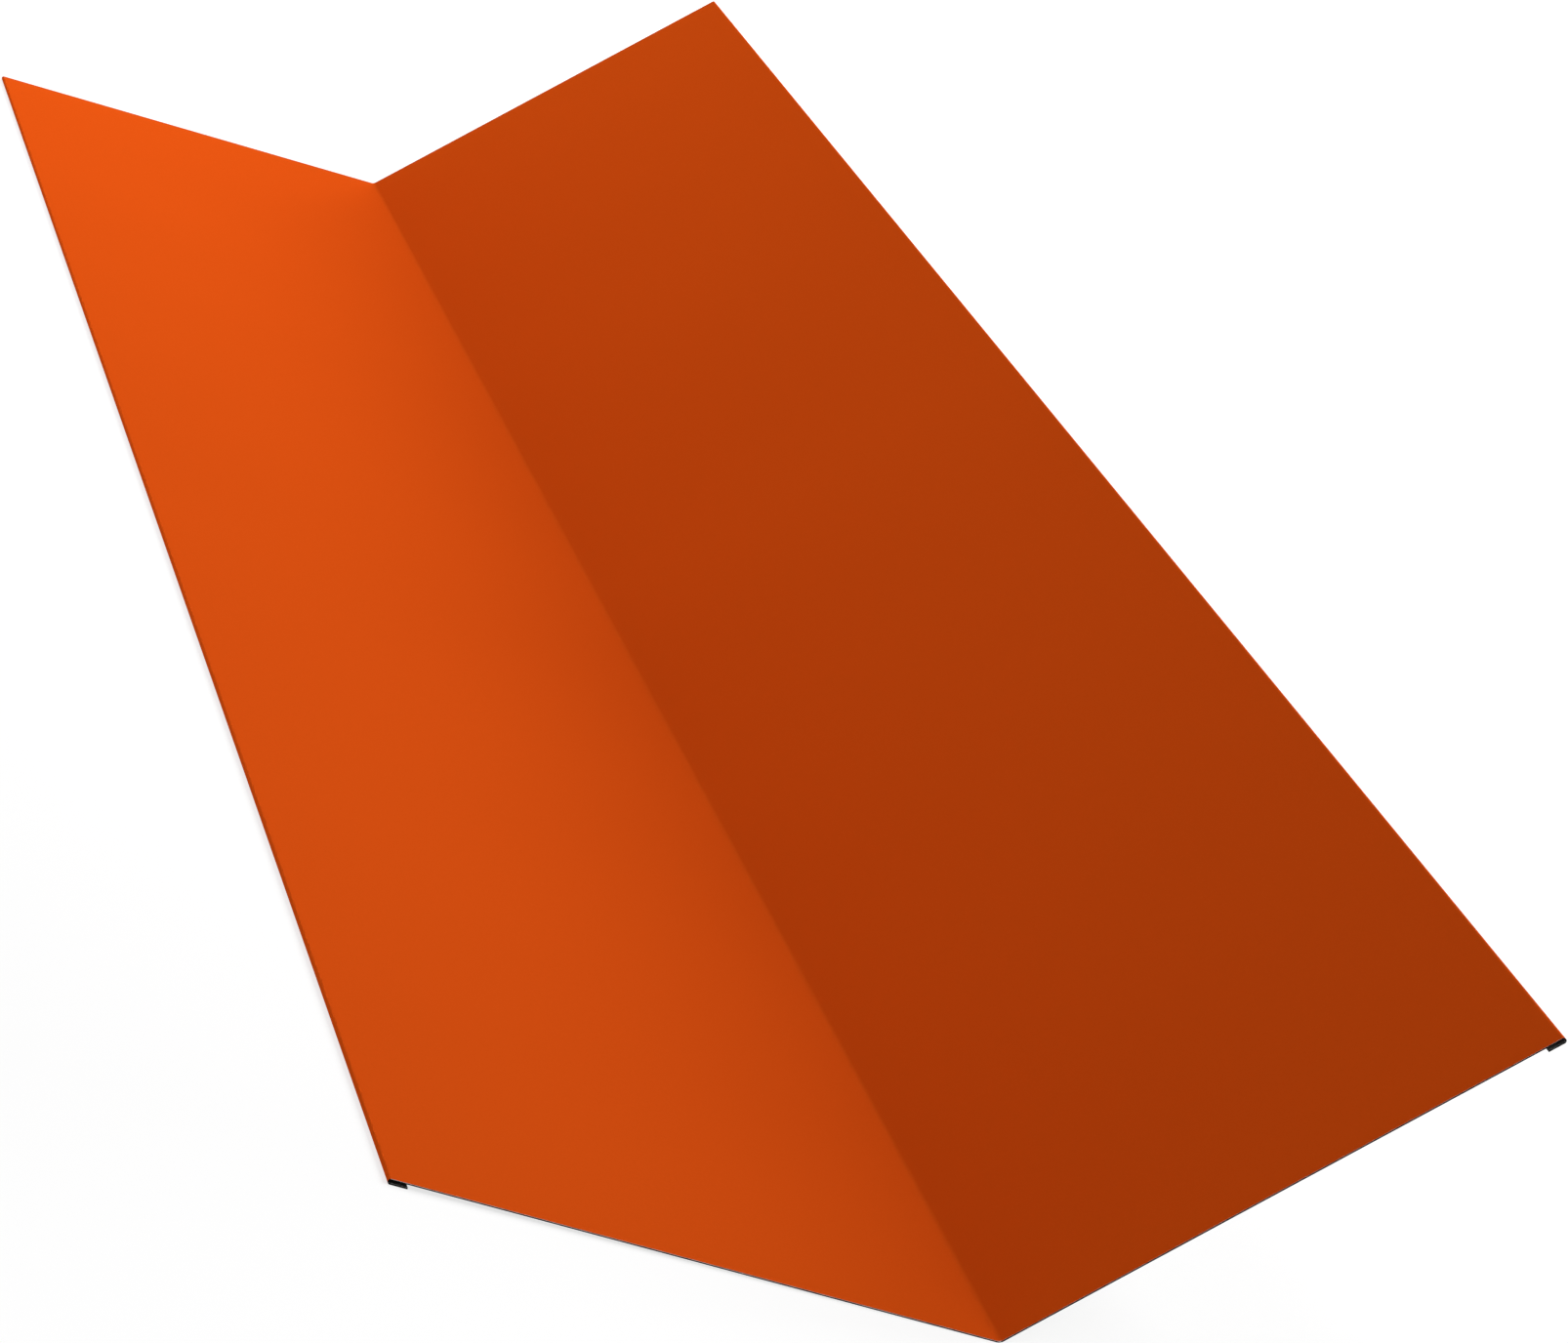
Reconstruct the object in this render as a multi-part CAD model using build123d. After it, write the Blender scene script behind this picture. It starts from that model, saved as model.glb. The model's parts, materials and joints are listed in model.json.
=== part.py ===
from build123d import *

import os
from math import acos, atan2, degrees, hypot, radians, tan

# A roof valley flashing: one length of painted steel sheet, folded along its middle to a shallow V that lines
# the valley between two roof slopes and carries the rain away. Each long edge is turned under into an open
# hem, which stiffens the edge and takes the hooks of the fixing cleats.
#
# X runs across the section, Y along the length and Z up. The flashing lies as it would on a floor, on its
# left wing, with its painted side up, and the origin is on the floor under the middle of its bounding box.

# Driving dimensions, in millimetres and degrees
LENGTH = 3000.0  # the stock length
WING_WIDTH = 300.0  # from the valley's fold line to the outer edge of the hem
OPENING_ANGLE = 135.0  # between the two wings, on the painted side
SHEET = 0.7  # thickness of the sheet
VALLEY_RADIUS = 4.0  # inside radius of the valley bend, on the painted side
HEM_REACH = 10.0  # from the hem's outer edge to the free edge of its return lip
HEM_GAP = 1.5  # clear gap in the hem, between the wing and its return lip

# Bends of the sheet's middle surface. Walking across the section with the painted side on the left,
# a turn to the left is positive.
VALLEY_TURN = 180.0 - OPENING_ANGLE
HEM_TURN = -180.0
VALLEY_MIDDLE_RADIUS = VALLEY_RADIUS + SHEET / 2
HEM_MIDDLE_RADIUS = (HEM_GAP + SHEET) / 2

# Flat runs between those bends
HEM_OUTER_RADIUS = HEM_MIDDLE_RADIUS + SHEET / 2
VALLEY_SETBACK = VALLEY_MIDDLE_RADIUS * tan(radians(VALLEY_TURN / 2))
WING_RUN = WING_WIDTH - VALLEY_SETBACK - HEM_OUTER_RADIUS
LIP_RUN = HEM_REACH - HEM_OUTER_RADIUS

RUNS = (LIP_RUN, WING_RUN, WING_RUN, LIP_RUN)
BENDS = (
    (HEM_TURN, HEM_MIDDLE_RADIUS),
    (VALLEY_TURN, VALLEY_MIDDLE_RADIUS),
    (HEM_TURN, HEM_MIDDLE_RADIUS),
)


def fold_line():
    """The middle line of the section, from the free edge of the left lip to that of the right one.

    The left wing is level, and the line starts at the origin, heading out to the left.
    """
    place, heading = Vector(0, 0), Vector(-1, 0)
    line = Curve()
    for run, bend in zip(RUNS, BENDS + (None,)):
        flat = Line(place, place + heading * run)
        line += flat
        place = flat @ 1
        if bend:
            turn, radius = bend
            curve = JernArc(place, heading, radius, turn)
            line += curve
            place, heading = curve @ 1, curve % 1
    return line


def rest_tilt():
    """The angle that lets the left wing down onto its lip and the outside of the valley bend.

    The lip stands below the wing, so the wing leans until the lip's free edge and the bend are level.
    """
    bend_radius = VALLEY_RADIUS + SHEET
    across = WING_RUN - LIP_RUN
    above = HEM_GAP + SHEET + bend_radius
    return degrees(acos(bend_radius / hypot(across, above)) - atan2(across, above))


def valley_flashing():
    """The folded sheet, lying on its left wing, with its origin under the middle of its bounding box."""
    section = Rot(Z=-rest_tilt()) * trace(fold_line(), SHEET)
    sheet = extrude(Plane.XZ * section, LENGTH / 2, both=True)
    box = sheet.bounding_box()
    return Pos(-box.center().X, 0, -box.min.Z) * sheet


os.makedirs("parts", exist_ok=True)
export_step(valley_flashing(), "parts/valley_flashing.step")
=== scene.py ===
import json
from math import pi, radians

import bpy
from mathutils import Matrix, Vector

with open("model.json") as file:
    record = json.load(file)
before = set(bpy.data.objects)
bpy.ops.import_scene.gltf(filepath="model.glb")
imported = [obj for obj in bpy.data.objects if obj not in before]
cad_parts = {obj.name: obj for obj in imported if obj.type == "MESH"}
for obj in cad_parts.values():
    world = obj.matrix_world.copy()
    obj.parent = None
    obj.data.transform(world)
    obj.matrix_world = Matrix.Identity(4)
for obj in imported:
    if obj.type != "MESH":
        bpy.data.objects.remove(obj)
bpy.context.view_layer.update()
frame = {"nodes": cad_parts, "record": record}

flashing = frame["nodes"]["valley_flashing"]
mounts = {m["name"]: m for m in frame["record"]["mounts"]}

# The camera, in metres and degrees. Its heading is from +Y towards +X, and its dip is below the horizon.
CAMERA_PLACE = Vector((-1.00292, -5.62163, 1.05842))
CAMERA_HEADING = 11.6704
CAMERA_DIP = 10.4693
CAMERA_ROLL = 17.4410
CAMERA_LENS_MM = 215.0
CAMERA_SENSOR_MM = 36.0
CAMERA_NEAREST = 0.1
CAMERA_FURTHEST = 500.0

# The sheet, and the zone round the mouth of a hem's gap that holds the whole hem, in metres
SHEET = 0.0007
HEM_ZONE = 0.02

# How close a face has to be to a place, in metres, and its normal to a direction, as a cosine
CLOSE = 0.0001
PARALLEL = 0.999

# The coats: linear colours, the size of the grain in metres, roughness and gloss
COATS = {
    "orange_coat": {
        "light": (0.825, 0.0965, 0.0060, 1),
        "dark": (0.785, 0.0905, 0.0056, 1),
        "grain": 0.0012,
        "roughness": 0.9,
        "gloss": 0.001,
    },
    # The back coat's dark grey is partly painted shade: it makes the inside of each hem's gap, seen only in
    # shade, read nearly black.
    "grey_back_coat": {
        "light": (0.20, 0.20, 0.19, 1),
        "dark": (0.165, 0.165, 0.157, 1),
        "grain": 0.0015,
        "roughness": 0.6,
        "gloss": 0.3,
    },
}
GRAIN_SHARE = 0.65  # of the change in colour, which the slow drift shares
DRIFT_SIZE = 0.35  # metres
ROUGHNESS_SWING = 0.05
RELIEF_DEPTH = 0.00002  # metres
RELIEF_SIZE = 0.8  # as a share of the grain's size

# The cut edge: how deep its bright band runs into each layer, as shares of the sheet's thickness
# That band is partly burnish where the blade went in and partly a painted highlight along the top of each
# cut face. It is narrower on the right wing, and narrowest on the lips under the wings, where that is
# painted shade.
BURNISH_AND_HIGHLIGHT_LEFT = 0.24
BURNISH_AND_HIGHLIGHT_RIGHT = 0.1
BURNISH_AND_HIGHLIGHT_LIPS = 0.03
TEAR_WAVE = 0.003  # length of the waves of the line between bright and torn, in metres
TEAR_SWING = 0.3  # how far that line wavers, as a share of the blade's depth
TEAR_SOFTNESS = 0.15  # half of the change from bright to torn, as a share of that depth
# Bright band: burnished steel, partly a painted highlight. Near-black rest: torn steel, partly painted
# shade.
BURNISHED_AND_HIGHLIGHT = (0.88, 0.88, 0.86, 1)
TORN_AND_SHADE = (0.004, 0.004, 0.004, 1)
BURNISHED_ROUGHNESS = 0.5
TORN_ROUGHNESS = 0.9
CUT_GLOSS = 0.05

# The floor: its glow to the camera near the part and away from it, and where that changes, in metres
FLOOR_SIZE = 200.0
FLOOR = (0.8, 0.8, 0.8, 1)
FLOOR_SHADE = (0.35, 0.35, 0.35, 1)
FLOOR_GLOW_NEAR = 0.74
FLOOR_GLOW_AWAY = 1.0
FLOOR_NEAR = 1.5
FLOOR_AWAY = 6.0

# Light: the strength of the room, and softboxes by azimuth from +Y towards +X, elevation and power in watts
WHITE = (1, 1, 1, 1)
ROOM_LIGHT = 0.08
SOFTBOX_SIZE = 1.6
SOFTBOX_DISTANCE = 5.0
SOFTBOXES = {
    "far_end": (0, 40, 72.0),
    "far_right": (30, 25, 105.0),
    "right": (90, 32, 85.0),
    "near_right": (135, 40, 86.0),
    "left": (270, 10, 65.0),
}

# Most of a noise lies between these two values
NOISE_LOW = 0.3
NOISE_HIGH = 0.7

# Where a Mix node keeps its sockets for colours
MIX_FIRST = 6
MIX_SECOND = 7
MIX_RESULT = 2


def new_material(name):
    """A material with a Principled shader, and its node tree."""
    material = bpy.data.materials.new(name)
    material.use_nodes = True
    tree = material.node_tree
    return material, tree, tree.nodes["Principled BSDF"]


def place_on_part(tree):
    """A point's place in the part's own frame, in metres."""
    return tree.nodes.new("ShaderNodeTexCoord").outputs["Object"]


def noise(tree, size, detail):
    """Noise whose grains are about that size across, in metres."""
    node = tree.nodes.new("ShaderNodeTexNoise")
    node.inputs["Scale"].default_value = 1 / size
    node.inputs["Detail"].default_value = detail
    tree.links.new(place_on_part(tree), node.inputs["Vector"])
    return node.outputs["Fac"]


def spread(tree, value, low, high, start=NOISE_LOW, end=NOISE_HIGH):
    """A value that runs from low to high while the given one runs from start to end."""
    node = tree.nodes.new("ShaderNodeMapRange")
    for name, number in zip(("From Min", "From Max", "To Min", "To Max"), (start, end, low, high)):
        node.inputs[name].default_value = number
    tree.links.new(value, node.inputs["Value"])
    return node.outputs["Result"]


def blend_colours(tree, factor, first, second):
    node = tree.nodes.new("ShaderNodeMix")
    node.data_type = "RGBA"
    node.inputs[MIX_FIRST].default_value = first
    node.inputs[MIX_SECOND].default_value = second
    tree.links.new(factor, node.inputs["Factor"])
    return node.outputs[MIX_RESULT]


def bump(tree, shader, height, depth):
    """Relief that many metres deep."""
    node = tree.nodes.new("ShaderNodeBump")
    node.inputs["Distance"].default_value = depth
    node.inputs["Strength"].default_value = 1.0
    tree.links.new(height, node.inputs["Height"])
    tree.links.new(node.outputs["Normal"], shader.inputs["Normal"])


def reckon(tree, operation, *values):
    """The result of a Math node on numbers or other nodes' outputs."""
    node = tree.nodes.new("ShaderNodeMath")
    node.operation = operation
    for socket, value in zip(node.inputs, values):
        if isinstance(value, (int, float)):
            socket.default_value = value
        else:
            tree.links.new(value, socket)
    return node.outputs[0]


def seen_directly(tree):
    """1 for a ray from the camera, or one that shows in gloss or glass, and 0 for light on the part."""
    path = tree.nodes.new("ShaderNodeLightPath")
    gloss = reckon(tree, "MAXIMUM", path.outputs["Is Glossy Ray"], path.outputs["Is Transmission Ray"])
    return reckon(tree, "MAXIMUM", path.outputs["Is Camera Ray"], gloss)


def coil_coat(name, light, dark, grain, roughness, gloss):
    """A roller-applied coat: fine grain, slow drift of the colour, and a faint relief."""
    material, tree, shader = new_material(name)
    fine = noise(tree, grain, detail=3)
    drift = noise(tree, DRIFT_SIZE, detail=1)
    mixed = reckon(
        tree,
        "ADD",
        reckon(tree, "MULTIPLY", fine, GRAIN_SHARE),
        reckon(tree, "MULTIPLY", drift, 1 - GRAIN_SHARE),
    )
    colour = blend_colours(tree, spread(tree, mixed, 0, 1), light, dark)
    matt = spread(tree, fine, roughness - ROUGHNESS_SWING, roughness + ROUGHNESS_SWING)
    tree.links.new(colour, shader.inputs["Base Color"])
    tree.links.new(matt, shader.inputs["Roughness"])
    shader.inputs["Specular IOR Level"].default_value = gloss
    bump(tree, shader, noise(tree, grain * RELIEF_SIZE, detail=2), RELIEF_DEPTH)
    return material


def depth_below(tree, mount):
    """How far a point is behind the plane of a flat mount, in metres."""
    normal = Vector(mount["axis"])
    node = tree.nodes.new("ShaderNodeVectorMath")
    node.operation = "DOT_PRODUCT"
    node.inputs[1].default_value = normal
    tree.links.new(place_on_part(tree), node.inputs[0])
    return reckon(tree, "SUBTRACT", normal.dot(Vector(mount["pos_m"])), node.outputs["Value"])


def cut_edge(name):
    """A sheared edge: a bright band at the top of each layer, partly burnish where the blade went in and
    partly a painted highlight, and below it a near-black rest, partly torn steel and partly painted shade.

    The band runs deeper on the left wing than on the right one, and least deep on the lips under them,
    where its narrowing is painted shade.
    """
    material, tree, shader = new_material(name)
    left, right, left_lip, right_lip = (
        depth_below(tree, mounts[m])
        for m in ("left_wing_top", "right_wing_top", "left_hem_seat", "right_hem_seat")
    )

    # Each wing is in front of the other one's plane, so of the two shares its own is the larger.
    wings = reckon(
        tree,
        "MAXIMUM",
        reckon(tree, "DIVIDE", left, BURNISH_AND_HIGHLIGHT_LEFT * SHEET),
        reckon(tree, "DIVIDE", right, BURNISH_AND_HIGHLIGHT_RIGHT * SHEET),
    )

    # Each lip is far behind the other one's seat. Its upper side is the sheet's thickness behind its own.
    lip = reckon(tree, "MINIMUM", left_lip, right_lip)
    # On a lip the bright band runs down from its upper side, under the wing, and its narrowness there is
    # painted shade.
    below_upper_side = reckon(tree, "ABSOLUTE", reckon(tree, "SUBTRACT", lip, SHEET))
    lips = reckon(tree, "DIVIDE", below_upper_side, BURNISH_AND_HIGHLIGHT_LIPS * SHEET)

    share = reckon(tree, "MINIMUM", wings, lips)
    wavering = spread(tree, noise(tree, TEAR_WAVE, detail=3), -TEAR_SWING, TEAR_SWING)
    depth = reckon(tree, "ADD", share, wavering)
    # 0 in the bright band, in part a painted highlight, and 1 in the near-black rest, in part painted
    # shade.
    torn_and_shaded = spread(tree, depth, 0, 1, 1 - TEAR_SOFTNESS, 1 + TEAR_SOFTNESS)
    matt = spread(tree, torn_and_shaded, BURNISHED_ROUGHNESS, TORN_ROUGHNESS, 0, 1)
    tree.links.new(blend_colours(tree, torn_and_shaded, BURNISHED_AND_HIGHLIGHT, TORN_AND_SHADE), shader.inputs["Base Color"])
    tree.links.new(matt, shader.inputs["Roughness"])
    shader.inputs["Specular IOR Level"].default_value = CUT_GLOSS
    return material


# The order of the part's materials
PAINTED, BACKED, CUT = range(3)


def side_of_sheet(polygon):
    """Which side of the sheet a face of the solid is on: the painted one, the back or a cut edge.

    The paint is on the outside of each hem, seen from the mouth of its gap, and elsewhere on the valley's
    side. The free edge of a lip is level with that mouth.
    """
    if abs(polygon.normal.y) > PARALLEL:
        return CUT
    for name in ("left_hem_slot", "right_hem_slot"):
        out = polygon.center - Vector(mounts[name]["pos_m"])
        out.y = 0
        if out.length < HEM_ZONE:
            facing = out.dot(polygon.normal)
            along_gap = abs(polygon.normal.dot(Vector(mounts[name]["axis"]))) > PARALLEL
            if along_gap and abs(facing) < CLOSE:
                return CUT
            return PAINTED if facing > 0 else BACKED
    up = Vector(mounts["left_wing_top"]["axis"]) + Vector(mounts["right_wing_top"]["axis"])
    return PAINTED if up.dot(polygon.normal) > 0 else BACKED


def finish_flashing():
    """The coats on the two sides of the sheet, and bare steel on its cut edges."""
    flashing.data.materials.clear()
    for name, coat in COATS.items():
        flashing.data.materials.append(coil_coat(name, **coat))
    flashing.data.materials.append(cut_edge("cut_steel"))
    for polygon in flashing.data.polygons:
        polygon.material_index = side_of_sheet(polygon)


def floor_material(name):
    """Pale to the light. To the camera it looks white, more so away from the part, and keeps the shadow."""
    material, tree, shader = new_material(name)
    shader.inputs["Base Color"].default_value = FLOOR
    shader.inputs["Roughness"].default_value = 1.0
    shader.inputs["Specular IOR Level"].default_value = 0.0
    away = tree.nodes.new("ShaderNodeVectorMath")
    away.operation = "LENGTH"
    tree.links.new(place_on_part(tree), away.inputs[0])
    glow = tree.nodes.new("ShaderNodeEmission")
    strength = spread(tree, away.outputs["Value"], FLOOR_GLOW_NEAR, FLOOR_GLOW_AWAY, FLOOR_NEAR, FLOOR_AWAY)
    tree.links.new(strength, glow.inputs["Strength"])
    shadowed = tree.nodes.new("ShaderNodeBsdfDiffuse")
    shadowed.inputs["Color"].default_value = FLOOR_SHADE
    white = tree.nodes.new("ShaderNodeAddShader")
    tree.links.new(glow.outputs[0], white.inputs[0])
    tree.links.new(shadowed.outputs[0], white.inputs[1])
    seen = tree.nodes.new("ShaderNodeMixShader")
    tree.links.new(seen_directly(tree), seen.inputs[0])
    tree.links.new(shader.outputs[0], seen.inputs[1])
    tree.links.new(white.outputs[0], seen.inputs[2])
    tree.links.new(seen.outputs[0], tree.nodes["Material Output"].inputs["Surface"])
    return material


def lay_floor():
    bpy.ops.mesh.primitive_plane_add(size=FLOOR_SIZE)
    floor = bpy.context.object
    floor.name = "floor"
    floor.data.materials.append(floor_material("pale_floor"))


def set_room():
    """A white room, which lights the part only a little."""
    world = bpy.data.worlds.new("studio")
    bpy.context.scene.world = world
    world.use_nodes = True
    tree = world.node_tree
    background = tree.nodes["Background"]
    background.inputs["Color"].default_value = WHITE
    strength = spread(tree, seen_directly(tree), ROOM_LIGHT, 1, 0, 1)
    tree.links.new(strength, background.inputs["Strength"])


def hang_softboxes():
    """Round softboxes, turned to the middle of the part."""
    for name, (azimuth, elevation, watts) in SOFTBOXES.items():
        box = bpy.data.lights.new(name, "AREA")
        box.shape = "DISK"
        box.size = SOFTBOX_SIZE
        box.energy = watts
        light = bpy.data.objects.new(name, box)
        bpy.context.scene.collection.objects.link(light)
        turned = Matrix.Rotation(radians(-azimuth), 4, "Z") @ Matrix.Rotation(radians(elevation), 4, "X")
        light.location = turned @ Vector((0, SOFTBOX_DISTANCE, 0))
        light.rotation_euler = light.location.to_track_quat("Z", "Y").to_euler()


def set_camera():
    camera_data = bpy.data.cameras.new("camera")
    camera_data.sensor_width = CAMERA_SENSOR_MM
    camera_data.sensor_fit = "HORIZONTAL"
    camera_data.lens = CAMERA_LENS_MM
    camera_data.clip_start = CAMERA_NEAREST
    camera_data.clip_end = CAMERA_FURTHEST
    camera = bpy.data.objects.new("camera", camera_data)
    bpy.context.scene.collection.objects.link(camera)
    bpy.context.scene.camera = camera
    camera.matrix_world = (
        Matrix.Translation(CAMERA_PLACE)
        @ Matrix.Rotation(radians(-CAMERA_HEADING), 4, "Z")
        @ Matrix.Rotation(pi / 2 - radians(CAMERA_DIP), 4, "X")
        @ Matrix.Rotation(radians(CAMERA_ROLL), 4, "Z")
    )


finish_flashing()
lay_floor()
set_room()
hang_softboxes()
set_camera()
bpy.context.scene.view_settings.view_transform = "Standard"
